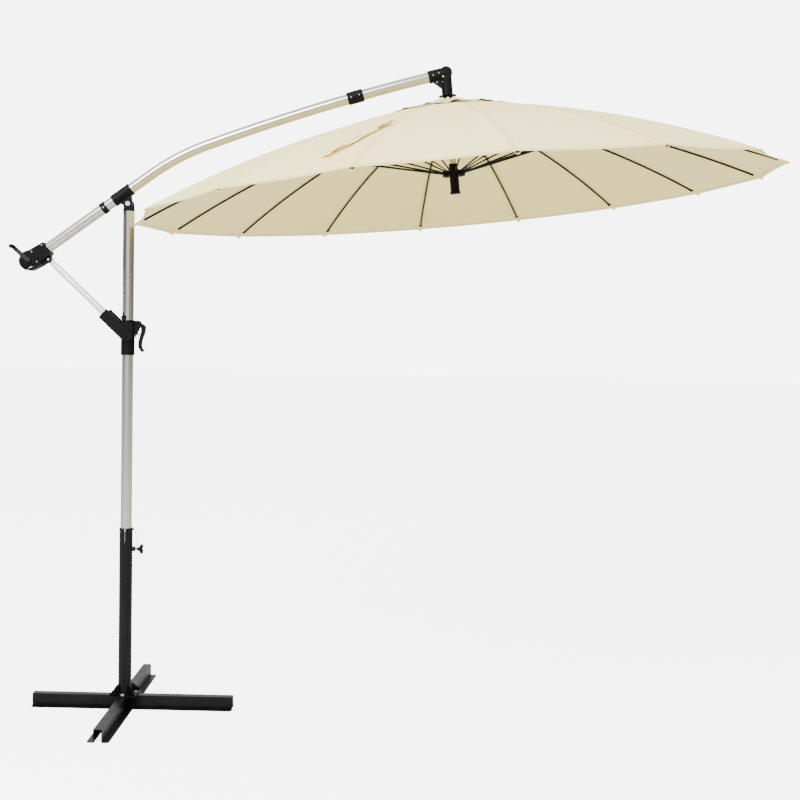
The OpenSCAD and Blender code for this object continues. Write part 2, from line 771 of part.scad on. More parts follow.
// The cord's way from the spool through the boom, over the pulley and down to the runner, as [x, z]
function arc_points(centre, r, from, to, n) =
    [for (i = [0:n]) along(centre, from + (to - from) * i / n, r)];
cord_end = -hang + 42;
cord_route = concat(
    [along(along(tee_foot, boom_slope, drum_x), boom_slope + 90, spool_r + 4)],
    [for (i = [0:6]) along(tee_foot, boom_slope, -boom_tail + 4 + (boom_tail + boom_straight - 8) * i / 6)],
    arc_points(bend_centre, bend_r, boom_slope + 90, sweep_slope + 90, 8),
    arc_points(sweep_centre, sweep_r, sweep_slope + 89.8, end_slope + 90 + pulley_back / sweep_r * 180 / PI, 10),
    arc_points(pulley_c, pulley_r, end_slope + 89, canopy_lean + 1, 7),
    [for (i = [0:4]) along(elbow_corner, canopy_lean + 90, -pulley_back - 1 + (cord_end + pulley_back) * i / 4)]);

// A round cord along points in the XZ plane
module cord(route, r, sides) {
    last = len(route) - 1;
    rings = [for (i = [0:last])
        let (d = route[min(i + 1, last)] - route[max(i - 1, 0)], u = d / norm(d))
        for (k = [0:sides - 1]) let (a = 360 * k / sides)
            [route[i][0] - u[1] * r * cos(a), r * sin(a), route[i][1] + u[0] * r * cos(a)]];
    walls = [for (i = [0:last - 1], k = [0:sides - 1])
        let (n = (k + 1) % sides)
        [i * sides + k, i * sides + n, (i + 1) * sides + n, (i + 1) * sides + k]];
    tris = [for (q = walls, t = [0, 1]) t == 0 ? [q[0], q[1], q[2]] : [q[0], q[2], q[3]]];
    ends = [[for (k = [sides - 1:-1:0]) k], [for (k = [0:sides - 1]) last * sides + k]];
    polyhedron(rings, concat(tris, ends));
}

module lift_cord() {
    color("#e8e6df") cord(cord_route, cord_r, 10);
}

module rib(i) {
    cheek_in = 2.3;
    color("#1d1e20") at_rib(i) difference() {
        union() {
            arc_bar(bow_c, rib_bow_r, -bow_slope(ring_r + 2), -bow_slope(tip_r), rib_d / 2);
            translate([ring_r, 0, canopy_rise]) cross_rod(6, 2 * eye_half);
            translate([ring_r, 0, canopy_rise]) rotate([0, root_slope, 0]) x_rod(rib_d / 2 + 0.1, 30);
            for (s = [-1, 1]) at(joint_p, -joint_s) translate([0, s * (cheek_in + 1.5), 0]) slab(3) {
                circle(r = 7);
                translate([-7, 0]) square([14, clip_drop]);
            }
            at(joint_p, -joint_s) translate([-14, 0, clip_drop]) x_rod(rib_d / 2 + 1.3, 28);
            at(joint_p, -joint_s) cross_rod(2, 2 * (cheek_in + 3));
            at(along(bow_c, 90 - bow_slope(tip_r), rib_bow_r), -bow_slope(tip_r)) sphere(r = rib_d / 2 + 1);
        }
        translate([ring_r, 0, canopy_rise]) cross_rod(wire_r + 0.6, 20);
    }
}

module stretcher(i) {
    color("#1d1e20") at_rib(i) {
        at([ring_r, runner_z], arm_angle) {
            cross_rod(5, 6.2);
            cross_rod(2, 12.4);
            x_rod(stretcher_d / 2 - 0.6, arm_len / 2);
            translate([8, 0, 0]) x_rod(stretcher_d / 2, arm_len - 24);
        }
        at(joint_p, arm_angle) difference() {
            union() {
                cross_rod(6, 4);
                translate([-18, -2, -3.4]) cube([16, 4, 6.8]);
            }
            cross_rod(2 + run, 10);
        }
    }
}

// Fabric: rings of points at the ribs and at the middle of each panel
function fold(c) = c % 2 == 0 ? 1 : cos(180 / rib_count);
function fabric_pt(r, c, lift, k) =
    let (a = 180 + rib_phase + c * 180 / rib_count,
         rr = r * fold(c) * (1 - (c % 2) * scallop * k * k))
    [rr * cos(a), rr * sin(a), bow_z(r, lift)];

function grid(n, j, c) = j * n + (c % n);

module fabric(r_in, r_out, rings, lift) {
    n = gore_cols;
    layers = rings + 1;
    pts = [for (up = [0, 1], j = [0:rings], c = [0:n - 1])
        fabric_pt(r_in + (r_out - r_in) * j / rings, c, lift + up * fabric_t, j / rings * (r_out > vent_r ? 1 : 2.5))];
    low = layers * n;
    quads = concat(
        [for (j = [0:rings - 1], c = [0:n - 1])
            [low + grid(n, j, c), low + grid(n, j + 1, c), low + grid(n, j + 1, c + 1), low + grid(n, j, c + 1)]],
        [for (j = [0:rings - 1], c = [0:n - 1])
            [grid(n, j, c + 1), grid(n, j + 1, c + 1), grid(n, j + 1, c), grid(n, j, c)]],
        [for (c = [0:n - 1])
            [grid(n, 0, c), low + grid(n, 0, c), low + grid(n, 0, c + 1), grid(n, 0, c + 1)]],
        [for (c = [0:n - 1])
            [grid(n, rings, c + 1), low + grid(n, rings, c + 1), low + grid(n, rings, c), grid(n, rings, c)]]);
    tris = [for (q = quads, t = [0, 1]) t == 0 ? [q[0], q[2], q[1]] : [q[0], q[3], q[2]]];
    polyhedron(pts, tris);
}

module canopy() {
    color("#e9e3d2") at_canopy() {
        fabric(main_hole_r, canopy_r, main_rings, fabric_lift);
        fabric(cap_r, vent_r, vent_rings, fabric_lift + vent_lift);
    }
}

base_rail_long();
base_rail_cross();
post();
base_bolts();
knob_tether();
lock_knob();
mast_tube();
mast_head();
tee_pivot_bolt();
slide_sleeve();
sleeve_lever();
tee_clamp();
boom_lower();
boom_upper();
boom_collars();
elbow();
elbow_pulley();
crank_case_front();
crank_case_back();
rope_spool();
crank_handle();
centre_pole();
crown_hub();
lift_cord();
runner();
brace_tube();
brace_yoke();
canopy();
for (i = [1:rib_count]) {
    rib(i);
    stretcher(i);
}
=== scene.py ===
"""Looks of a cantilever parasol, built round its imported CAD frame.

Metres, +Z up, origin on the ground under the mast, +X towards the canopy, -Y towards the viewer.
"""

import math

import bmesh
import bpy
import numpy as np
from mathutils import Matrix, Vector


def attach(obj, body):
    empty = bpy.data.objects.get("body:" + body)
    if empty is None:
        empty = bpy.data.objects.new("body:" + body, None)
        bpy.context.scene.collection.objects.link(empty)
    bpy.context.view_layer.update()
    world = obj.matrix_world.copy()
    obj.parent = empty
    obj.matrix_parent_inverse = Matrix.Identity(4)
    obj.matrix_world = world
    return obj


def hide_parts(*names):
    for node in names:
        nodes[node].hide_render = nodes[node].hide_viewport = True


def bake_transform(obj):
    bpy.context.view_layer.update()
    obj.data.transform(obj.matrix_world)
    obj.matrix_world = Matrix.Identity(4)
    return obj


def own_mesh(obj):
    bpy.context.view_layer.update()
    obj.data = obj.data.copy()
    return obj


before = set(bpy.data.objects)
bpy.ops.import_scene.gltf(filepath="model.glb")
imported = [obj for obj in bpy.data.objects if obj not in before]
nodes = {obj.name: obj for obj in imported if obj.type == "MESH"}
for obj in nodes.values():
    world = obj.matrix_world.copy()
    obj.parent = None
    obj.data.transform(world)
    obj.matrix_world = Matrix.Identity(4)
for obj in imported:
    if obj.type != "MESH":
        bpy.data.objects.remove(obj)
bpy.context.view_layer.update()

# ---------------------------------------------------------------- sizes shared with the CAD model, metres
PIVOT_Z = 2.164
BOOM_SLOPE = math.radians(36.3)
BOOM_OFFSET = 0.0465
BOOM_R = 0.022
SLEEVE_Z = 1.607
LEAN = math.radians(6.05)
HANG = 0.539
CANOPY_R = 1.350
RISE = 0.405
HINGE_R = 0.035
BOW_R = 5.0
ROD_R = 0.004
RIBS = 16
PHASE = math.radians(5.67)
SWEEP_ANGLE = math.radians(6.47)
SWEEP_R = (CANOPY_R - 0.301) / SWEEP_ANGLE
VENT_R = 0.268
VENT_IN = 0.047
HOLE_R = 0.172
CLOTH = 0.0008
CLOTH_LIFT = ROD_R + 0.0022


# ---------------------------------------------------------------- camera
def add_camera():
    """The camera, level with the middle of the mast and turned very slightly."""
    data = bpy.data.cameras.new("view")
    data.sensor_width = 36
    data.lens = 54.2
    data.clip_end = 100
    cam = bpy.data.objects.new("view", data)
    bpy.context.scene.collection.objects.link(cam)
    pitch, roll = 0.0582, -0.0221
    ahead = Vector((0, math.cos(pitch), -math.sin(pitch)))
    side = Vector((1, 0, 0))
    low = Vector((0, -math.sin(pitch), -math.cos(pitch)))
    right = math.cos(roll) * side + math.sin(roll) * low
    down = -math.sin(roll) * side + math.cos(roll) * low
    turn = Matrix((right, -down, -ahead)).transposed().to_4x4()
    cam.matrix_world = Matrix.Translation((1.1668, -5.1442, 1.6574)) @ turn
    bpy.context.scene.camera = cam


add_camera()


# ---------------------------------------------------------------- the boom's and canopy's own directions
def along(p, angle, d):
    """The point at distance d from p, in the boom's plane, at an angle above the horizon."""
    return Vector((p.x + d * math.cos(angle), 0, p.z + d * math.sin(angle)))


QUARTER = math.pi / 2
tee_foot = along(Vector((0, 0, PIVOT_Z)), BOOM_SLOPE + QUARTER, BOOM_OFFSET)
bend_start = along(tee_foot, BOOM_SLOPE, 0.146)
bend_centre = along(bend_start, BOOM_SLOPE - QUARTER, 1.030)
sweep_slope = BOOM_SLOPE - math.radians(15.3)
sweep_start = along(bend_centre, sweep_slope + QUARTER, 1.030)
sweep_centre = along(sweep_start, sweep_slope - QUARTER, SWEEP_R)
end_slope = sweep_slope - SWEEP_ANGLE
elbow_corner = along(sweep_centre, end_slope + QUARTER, SWEEP_R)
rim_centre = along(elbow_corner, LEAN - QUARTER, HANG)


def turned(at, angle):
    """A frame at a point in the boom's plane, with its x at an angle above the horizon."""
    return Matrix.Translation(at) @ Matrix.Rotation(-angle, 4, "Y")


BOOM = turned(tee_foot, BOOM_SLOPE)
CANOPY = turned(rim_centre, LEAN)
ELBOW = turned(elbow_corner, end_slope)
BOOM_WAY, ELBOW_WAY = (place.to_3x3() @ Vector((1, 0, 0)) for place in (BOOM, ELBOW))
CANOPY_WAY = CANOPY.to_3x3() @ Vector((0, 0, 1))

chord = math.atan2(RISE, CANOPY_R - HINGE_R)
half_arc = math.asin(math.hypot(RISE, CANOPY_R - HINGE_R) / 2 / BOW_R)
bow_x = HINGE_R - BOW_R * math.sin(chord - half_arc)
bow_z = RISE - BOW_R * math.cos(chord - half_arc)


def bow_height(r, lift=0.0):
    """Height above the rim's plane of the bowed ribs, or of cloth a little above them."""
    return bow_z + np.sqrt((BOW_R + lift) ** 2 - (r - bow_x) ** 2)


def rib_angle(k):
    """The turn of rib k round the canopy's axis, from the mast's side."""
    return math.pi + PHASE + k * math.tau / RIBS


# ---------------------------------------------------------------- materials
def srgb(code, alpha=1.0):
    """A linear colour from an sRGB hex value."""
    parts = [int(code[i : i + 2], 16) / 255 for i in (1, 3, 5)]
    return (*[c / 12.92 if c <= 0.04045 else ((c + 0.055) / 1.055) ** 2.4 for c in parts], alpha)


def add(tree, kind, inputs=None, stops=(), **settings):
    """One node, with its settings, its inputs given as numbers or as other nodes' outputs, and a colour
    ramp's two stops as (place, colour)."""
    made = tree.nodes.new(kind)
    for step, (place, colour) in zip(made.color_ramp.elements if stops else (), stops):
        step.position, step.color = place, colour
    for name, value in settings.items():
        setattr(made, name, value)
    for name, value in (inputs or {}).items():
        if isinstance(value, bpy.types.NodeSocket):
            tree.links.new(value, made.inputs[name])
        else:
            made.inputs[name].default_value = value
    return made


def finish_of(name, **surface):
    """A new material with a Principled surface, and its tree."""
    made = bpy.data.materials.new(name)
    made.use_nodes = True
    tree = made.node_tree
    tree.nodes.clear()
    shader = add(tree, "ShaderNodeBsdfPrincipled", surface)
    out = add(tree, "ShaderNodeOutputMaterial")
    tree.links.new(shader.outputs["BSDF"], out.inputs["Surface"])
    return made, tree, shader


def woven_polyester():
    """Solution-dyed woven polyester canopy cloth. It reads as soft matt cream with a faint weave, slack
    ripples between the ribs, and doubled, stitched cloth along each rib and the hem. The weave is drawn
    2.4 mm wide, coarser than the real 0.5 mm thread, so that it shows."""
    made, tree, shader = finish_of("woven_polyester_cream", Roughness=0.86)
    shader.inputs["Sheen Weight"].default_value = 0.25
    shader.inputs["Sheen Roughness"].default_value = 0.5
    shader.inputs["Specular IOR Level"].default_value = 0.25
    cloth = add(tree, "ShaderNodeUVMap", uv_map="cloth")
    split = add(tree, "ShaderNodeSeparateXYZ", {0: cloth.outputs["UV"]})
    across, from_hem = split.outputs["X"], split.outputs["Y"]
    threads = []
    for side in (across, from_hem):
        wave = add(tree, "ShaderNodeMath", {0: side, 1: math.tau / 0.0024}, operation="MULTIPLY")
        threads.append(add(tree, "ShaderNodeMath", {0: wave.outputs[0]}, operation="SINE").outputs[0])
    weave = add(tree, "ShaderNodeMath", {0: threads[0], 1: threads[1]}, operation="MULTIPLY")
    # Doubled cloth beside each rib, and the turned hem
    off_rib = add(tree, "ShaderNodeMath", {0: across}, operation="ABSOLUTE")
    seam = add(tree, "ShaderNodeMath", {0: off_rib.outputs[0], 1: 0.008}, operation="LESS_THAN")
    hem = add(tree, "ShaderNodeMath", {0: from_hem, 1: 0.022}, operation="LESS_THAN")
    doubled = add(tree, "ShaderNodeMath", {0: seam.outputs[0], 1: hem.outputs[0]}, operation="MAXIMUM")
    # Lockstitch: dashes 4 mm apart, on two lines beside each rib and one on the hem
    line = add(tree, "ShaderNodeMath", {0: off_rib.outputs[0], 1: 0.0065, 2: 0.0008}, operation="COMPARE")
    dash = add(tree, "ShaderNodeMath", {0: from_hem, 1: math.tau / 0.004}, operation="MULTIPLY")
    dash = add(tree, "ShaderNodeMath", {0: dash.outputs[0]}, operation="SINE")
    dash = add(tree, "ShaderNodeMath", {0: dash.outputs[0], 1: -0.3}, operation="GREATER_THAN")
    stitch = add(tree, "ShaderNodeMath", {0: line.outputs[0], 1: dash.outputs[0]}, operation="MULTIPLY")
    hem_line = add(tree, "ShaderNodeMath", {0: from_hem, 1: 0.019, 2: 0.0009}, operation="COMPARE")
    stitch = add(tree, "ShaderNodeMath", {0: stitch.outputs[0], 1: hem_line.outputs[0]}, operation="MAXIMUM")
    place = add(tree, "ShaderNodeTexCoord")
    broad = add(tree, "ShaderNodeTexNoise", {"Vector": place.outputs["Object"], "Scale": 2.5, "Detail": 3.0})
    slub = add(tree, "ShaderNodeTexNoise", {"Vector": place.outputs["Object"], "Scale": 160.0, "Detail": 2.0})
    mix = add(tree, "ShaderNodeMath", {0: broad.outputs["Fac"], 1: 0.75}, operation="MULTIPLY")
    mix = add(
        tree, "ShaderNodeMath", {0: slub.outputs["Fac"], 1: 0.25, 2: mix.outputs[0]}, operation="MULTIPLY_ADD"
    )
    pale = [(0.35, srgb("#f2e191")), (0.65, srgb("#f6e8a2"))]
    tint = add(tree, "ShaderNodeValToRGB", {"Fac": mix.outputs[0]}, stops=pale)
    # Painted shade: faces that point down get a darker, yellower cream than the top. This stands in for the shade, and
    # the light through the cloth, that fall on the underside.
    facing = add(tree, "ShaderNodeNewGeometry")
    facing = add(tree, "ShaderNodeSeparateXYZ", {0: facing.outputs["True Normal"]})
    underside_shade = add(tree, "ShaderNodeMath", {0: facing.outputs["Z"], 1: 0.0}, operation="LESS_THAN")
    tint = add(
        tree,
        "ShaderNodeMix",
        {"Factor": underside_shade.outputs[0], 6: tint.outputs["Color"], 7: srgb("#f0dd88")},
        data_type="RGBA",
    )
    shade = add(
        tree,
        "ShaderNodeMix",
        {"Factor": doubled.outputs[0], 6: tint.outputs[2], 7: srgb("#e2d08c")},
        data_type="RGBA",
    )
    shade = add(
        tree,
        "ShaderNodeMix",
        {"Factor": stitch.outputs[0], 6: shade.outputs[2], 7: srgb("#cdb878")},
        data_type="RGBA",
    )
    tree.links.new(shade.outputs[2], shader.inputs["Base Color"])
    crease = add(tree, "ShaderNodeTexNoise", {"Vector": place.outputs["Object"], "Scale": 9.0, "Detail": 2.0})
    high = add(tree, "ShaderNodeMath", {0: weave.outputs[0], 1: 0.00012}, operation="MULTIPLY")
    for source, deep in ((doubled.outputs[0], 0.0006), (crease.outputs["Fac"], 0.004), (stitch.outputs[0], -0.0005)):
        high = add(tree, "ShaderNodeMath", {0: source, 1: deep, 2: high.outputs[0]}, operation="MULTIPLY_ADD")
    bump = add(tree, "ShaderNodeBump", {"Strength": 0.7, "Distance": 1.0, "Height": high.outputs[0]})
    tree.links.new(bump.outputs["Normal"], shader.inputs["Normal"])
    return made


def satin_metal(name, code, rough, grain, streak):
    """Metal tube or sheet with a drawn surface. grain is the pattern's repeats per metre on each axis."""
    made, tree, shader = finish_of(name, Metallic=1.0, Roughness=rough)
    place = add(tree, "ShaderNodeTexCoord")
    stretch = add(tree, "ShaderNodeMapping", {"Vector": place.outputs["Object"], "Scale": grain})
    noise = add(tree, "ShaderNodeTexNoise", {"Vector": stretch.outputs["Vector"], "Scale": 1.0, "Detail": 4.0})
    base = srgb(code)
    low = tuple(c * (1 - streak) for c in base[:3]) + (1.0,)
    tint = add(tree, "ShaderNodeValToRGB", {"Fac": noise.outputs["Fac"]}, stops=[(0.3, low), (0.7, base)])
    tree.links.new(tint.outputs["Color"], shader.inputs["Base Color"])
    spread = add(
        tree,
        "ShaderNodeMapRange",
        {"Value": noise.outputs["Fac"], "To Min": rough - 0.06, "To Max": rough + 0.08},
    )
    tree.links.new(spread.outputs["Result"], shader.inputs["Roughness"])
    bump = add(tree, "ShaderNodeBump", {"Strength": 0.25, "Distance": 0.0003, "Height": noise.outputs["Fac"]})
    tree.links.new(bump.outputs["Normal"], shader.inputs["Normal"])
    return made


def black_finish(name, code, worn, rough, grain, depth, coat=0.0):
    """A black surface with a fine texture of grain repeats per metre, depth metres deep, a little paler
    and drier where dust and handling have dulled it."""
    made, tree, shader = finish_of(name, Roughness=rough)
    shader.inputs["Specular IOR Level"].default_value = 0.09
    shader.inputs["Coat Weight"].default_value = coat
    shader.inputs["Coat Roughness"].default_value = 0.25
    place = add(tree, "ShaderNodeTexCoord")
    fine = add(tree, "ShaderNodeTexNoise", {"Vector": place.outputs["Object"], "Scale": grain, "Detail": 3.0})
    broad = add(tree, "ShaderNodeTexNoise", {"Vector": place.outputs["Object"], "Scale": 14.0, "Detail": 4.0})
    shades = [(0.4, srgb(code)), (0.75, srgb(worn))]
    tint = add(tree, "ShaderNodeValToRGB", {"Fac": broad.outputs["Fac"]}, stops=shades)
    tree.links.new(tint.outputs["Color"], shader.inputs["Base Color"])
    spread = add(
        tree,
        "ShaderNodeMapRange",
        {"Value": broad.outputs["Fac"], "To Min": rough - 0.08, "To Max": rough + 0.14},
    )
    tree.links.new(spread.outputs["Result"], shader.inputs["Roughness"])
    bump = add(tree, "ShaderNodeBump", {"Strength": 0.5, "Distance": depth, "Height": fine.outputs["Fac"]})
    tree.links.new(bump.outputs["Normal"], shader.inputs["Normal"])
    return made


def braided_cord():
    """Braided polyester cord: off-white, with the braid's slanting strands 3 mm long."""
    made, tree, shader = finish_of("braided_polyester_cord", Roughness=0.8)
    place = add(tree, "ShaderNodeTexCoord")
    braid = add(
        tree,
        "ShaderNodeTexWave",
        {"Vector": place.outputs["Object"], "Scale": 110.0, "Distortion": 1.5},
        bands_direction="DIAGONAL",
    )
    strands = [(0.2, srgb("#c9c4b4")), (0.8, srgb("#ece8da"))]
    tint = add(tree, "ShaderNodeValToRGB", {"Fac": braid.outputs["Fac"]}, stops=strands)
    tree.links.new(tint.outputs["Color"], shader.inputs["Base Color"])
    bump = add(tree, "ShaderNodeBump", {"Strength": 0.6, "Distance": 0.0005, "Height": braid.outputs["Fac"]})
    tree.links.new(bump.outputs["Normal"], shader.inputs["Normal"])
    return made


canopy_cloth = woven_polyester()
# Satin anodised aluminium: soft grey metal with faint drawing lines along the tube
mast_metal = satin_metal("satin_anodised_aluminium_mast", "#b4b2a6", 0.22, (420, 420, 3), 0.10)
boom_metal = satin_metal("satin_anodised_aluminium_boom", "#b4b2a6", 0.22, (60, 420, 60), 0.08)
# Clear anodised aluminium, brighter than the other tubes, almost white under a pale sky
brace_metal = satin_metal("bright_anodised_aluminium", "#eceded", 0.42, (90, 420, 90), 0.04)
# Zinc-plated steel fasteners: small, bright and slightly mottled
zinc_steel = satin_metal("zinc_plated_steel", "#cfcfca", 0.28, (700, 700, 700), 0.15)
# Black powder coat on the steel base: a dense low gloss with a very fine orange peel
powder_coat = black_finish("black_powder_coat", "#050506", "#0b0c0d", 0.42, 420.0, 0.0003, coat=0.1)
# Injection-moulded black nylon and polypropylene: a satin surface with a fine spark-eroded grain
moulded_nylon = black_finish("moulded_black_nylon", "#040405", "#0a0a0b", 0.48, 900.0, 0.0002)
# Dark grey enamel on the crank arm, a little paler than the mouldings round it
crank_paint = black_finish("dark_grey_enamel", "#1b1c1d", "#2c2d2e", 0.35, 300.0, 0.0001)
# Glass-fibre rod: dark, smooth, with a faint lengthwise fibre
glass_fibre = black_finish("black_glass_fibre_rod", "#070707", "#0d0d0e", 0.45, 1200.0, 0.0001)
# Pale acetal: the drum and pulley that the cord runs on
acetal = black_finish("pale_acetal", "#c9c9c2", "#dadad4", 0.4, 600.0, 0.0001)
cord_braid = braided_cord()

# ---------------------------------------------------------------- finishes of the CAD pieces
by_node = {
    "mast_tube": mast_metal,
    "boom_lower": boom_metal,
    "boom_upper": boom_metal,
    "centre_pole": mast_metal,
    "crank_handle": crank_paint,
    "brace_tube": brace_metal,
    "base_bolts": zinc_steel,
    "tee_pivot_bolt": zinc_steel,
    "knob_tether": zinc_steel,
    "base_rail_long": powder_coat,
    "base_rail_cross": powder_coat,
    "post": powder_coat,
    "rope_spool": acetal,
    "elbow_pulley": acetal,
    "lift_cord": cord_braid,
}
for name, obj in nodes.items():
    finish = by_node.get(name, glass_fibre if name.startswith(("rib_", "stretcher_")) else moulded_nylon)
    obj.data.materials.clear()
    obj.data.materials.append(finish)


# ---------------------------------------------------------------- making pieces
def piece(name, points, faces, material, smooth=True):
    """A mesh piece with its place in its points."""
    mesh = bpy.data.meshes.new(name)
    mesh.from_pydata([tuple(p) for p in points], [], [tuple(f) for f in faces])
    mesh.update()
    obj = bpy.data.objects.new(name, mesh)
    bpy.context.scene.collection.objects.link(obj)
    mesh.materials.append(material)
    mesh.polygons.foreach_set("use_smooth", [smooth] * len(mesh.polygons))
    return obj


def baked(obj):
    """Turns an object's modifiers into its mesh."""
    graph = bpy.context.evaluated_depsgraph_get()
    mesh = bpy.data.meshes.new_from_object(obj.evaluated_get(graph))
    obj.modifiers.clear()
    obj.data = mesh
    return obj


def sharp_edges(obj, angle=0.6):
    """Smooth shading, with every edge sharper than the angle kept sharp."""
    obj.data.polygons.foreach_set("use_smooth", [True] * len(obj.data.polygons))
    obj.data.set_sharp_from_angle(angle=angle)


def thicken(obj, uv, thick):
    """Gives a piece of cloth its UV, in metres for each point, and its thickness."""
    layer = obj.data.uv_layers.new(name="cloth")
    for loop in obj.data.loops:
        layer.data[loop.index].uv = uv[loop.vertex_index]
    solid = obj.modifiers.new("thickness", "SOLIDIFY")
    solid.thickness = thick
    solid.offset = 0
    baked(obj)
    sharp_edges(obj)
    return obj


def in_canopy(points):
    """Points from the canopy's own directions to the row frame."""
    turn = np.array(CANOPY.to_3x3())
    return np.asarray(points) @ turn.T + np.array(CANOPY.translation)


# ---------------------------------------------------------------- the canopy's panels
def cloth_point(r, share, k, r_edge, lift, sag, scallop):
    """A point of the cloth between rib k (share 0) and the next rib (share 1 or -1), at rib radius r."""
    side = 1 if share >= 0 else -1
    s = abs(share)
    full = 4 * s * (1 - s)
    pull = 1 - scallop * full * (r / r_edge) ** 3
    a0, a1 = rib_angle(k), rib_angle(k + side)
    reach = r * pull
    x = reach * ((1 - s) * math.cos(a0) + s * math.cos(a1))
    y = reach * ((1 - s) * math.sin(a0) + s * math.sin(a1))
    z = float(bow_height(r * (1 - 0.35 * scallop * full * (r / r_edge) ** 3), lift)) - sag * full
    return x, y, z


def cloth_strip(name, k, r_in, r_edge, rows, cols, lift, sag, scallop, ruffle=0.0):
    """The cloth that goes with rib k: half of the panel on each side of it, with its own UV in metres."""
    shares = np.linspace(-0.5, 0.5, 2 * cols + 1)
    radii = r_in + (r_edge - r_in) * np.linspace(0, 1, rows + 1) ** 0.85
    radii[-2] = r_edge - 0.006
    points, uv = [], []
    for r in radii:
        for s in shares:
            depth = sag * min(1.0, (r - r_in) / 0.25) * (0.35 + 0.65 * r / r_edge)
            x, y, z = cloth_point(r, s, k, r_edge, lift, depth, scallop)
            if ruffle:
                t = max(0.0, (r - 0.6 * r_edge) / (0.4 * r_edge)) ** 1.5
                turn = (k + s) * math.tau / RIBS
                z += ruffle * t * (math.sin(13 * turn) + 0.6 * math.sin(29 * turn + 1.3))
            points.append((x, y, z))
            uv.append((s * 2 * r * math.sin(math.pi / RIBS), r_edge - r))
    wide = len(shares)
    faces = [
        (j * wide + i, (j + 1) * wide + i, (j + 1) * wide + i + 1, j * wide + i + 1)
        for j in range(rows)
        for i in range(wide - 1)
    ]
    return thicken(piece(name, in_canopy(points), faces, canopy_cloth), uv, CLOTH)


def fold_with(obj, k):
    """The piece rides on rib k, with a mesh of its own."""
    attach(obj, f"rib_{k + 1:02d}")
    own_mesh(obj)


for k in range(RIBS):
    label = f"{k + 1:02d}"
    panel = cloth_strip("panel_" + label, k, HOLE_R, CANOPY_R, 34, 12, CLOTH_LIFT, 0.006, 0.011)
    fold_with(panel, k)
    raised = CLOTH_LIFT + 0.009
    cap = cloth_strip("vent_" + label, k, VENT_IN, VENT_R, 12, 8, raised, 0.002, 0.02, ruffle=0.0036)
    fold_with(cap, k)
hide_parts("canopy")


# ---------------------------------------------------------------- turned and swept pieces
def frame_along(centre, axis):
    """Three directions: the axis, and two square to it."""
    axis = Vector(axis).normalized()
    side = Vector((0, 0, 1)) if abs(axis.z) < 0.9 else Vector((1, 0, 0))
    u = axis.cross(side).normalized()
    return axis, u, axis.cross(u)


def turned_piece(name, profile, centre, axis, material, body, around=48):
    """A closed turned shape. The profile is (radius, height) pairs from one end on the axis to the other."""
    axis, u, v = frame_along(centre, axis)
    points, faces = [], []
    for j, (r, h) in enumerate(profile):
        for i in range(around):
            a = math.tau * i / around
            points.append(Vector(centre) + axis * h + (u * math.cos(a) + v * math.sin(a)) * r)
    for j in range(len(profile) - 1):
        for i in range(around):
            n = (i + 1) % around
            faces.append((j * around + i, j * around + n, (j + 1) * around + n, (j + 1) * around + i))
    obj = piece(name, points, faces, material)
    closed_mesh(obj)
    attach(obj, body)
    return obj


def closed_mesh(obj):
    """Merges doubled points, closes open ends and points every face outwards."""
    bm = bmesh.new()
    bm.from_mesh(obj.data)
    bmesh.ops.remove_doubles(bm, verts=bm.verts, dist=1e-6)
    edges = [e for e in bm.edges if e.is_boundary]
    if edges:
        bmesh.ops.holes_fill(bm, edges=edges, sides=0)
    bmesh.ops.recalc_face_normals(bm, faces=bm.faces)
    bm.to_mesh(obj.data)
    bm.free()
    sharp_edges(obj)


def ring_piece(name, centre, axis, r, wire, material, body, around=56, sides=14, ripple=None):
    """A closed ring of round wire, or a bead of moulding or weld."""
    axis, u, v = frame_along(centre, axis)
    points, faces = [], []
    for i in range(around):
        a = math.tau * i / around
        out = u * math.cos(a) + v * math.sin(a)
        w = wire * (1 + (ripple(a) if ripple else 0))
        for k in range(sides):
            b = math.tau * k / sides
            points.append(Vector(centre) + out * (r + w * math.cos(b)) + axis * (w * math.sin(b)))
    for i in range(around):
        for k in range(sides):
            n, m = (i + 1) % around, (k + 1) % sides
            faces.append((i * sides + k, n * sides + k, n * sides + m, i * sides + m))
    obj = piece(name, points, faces, material)
    closed_mesh(obj)
    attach(obj, body)
    return obj


def boom_point(t, y, n):
    """The point at t along the straight boom from the tee, y across it and n above its axis."""
    return BOOM @ Vector((t, y, n))


DRUM = boom_point(-0.483, 0, 0)
SIDE = Vector((0, -1, 0))

# Winding case: raised rings and a hub cap on its front, as moulded
for label, r, wire in (("outer", 0.0385, 0.0022), ("inner", 0.0275, 0.0016)):
    ring_piece("case_ring_" + label, DRUM + SIDE * 0.0268, SIDE, r, wire, moulded_nylon, "boom")
    ring_piece("case_ring_back_" + label, DRUM - SIDE * 0.0268, SIDE, r, wire, moulded_nylon, "boom")
turned_piece(
    "crank_hub_cap",
    [(0, 0.0435), (0.006, 0.0433), (0.0085, 0.042), (0.0095, 0.0385), (0.0095, 0.036), (0, 0.036)],
    DRUM, SIDE, crank_paint, "winder",
)

# Crank grip: a waisted black grip with fine grooves, on the arm's pin
arm_angle = BOOM_SLOPE + math.radians(102)
grip_at = along(DRUM, arm_angle, 0.086)
grip = [(0, 0.036), (0.0068, 0.036), (0.0088, 0.0385), (0.0092, 0.041)]
for i in range(6):
    h = 0.043 + i * 0.0034
    waist = 0.0003 * i * (5 - i) / 6
    grip += [(0.0084 - waist, h), (0.0078 - waist, h + 0.0012), (0.0084, h + 0.0024)]
grip += [(0.0088, 0.0645), (0.0072, 0.0672), (0, 0.0682)]
turned_piece("crank_grip", grip, grip_at, SIDE, moulded_nylon, "winder")

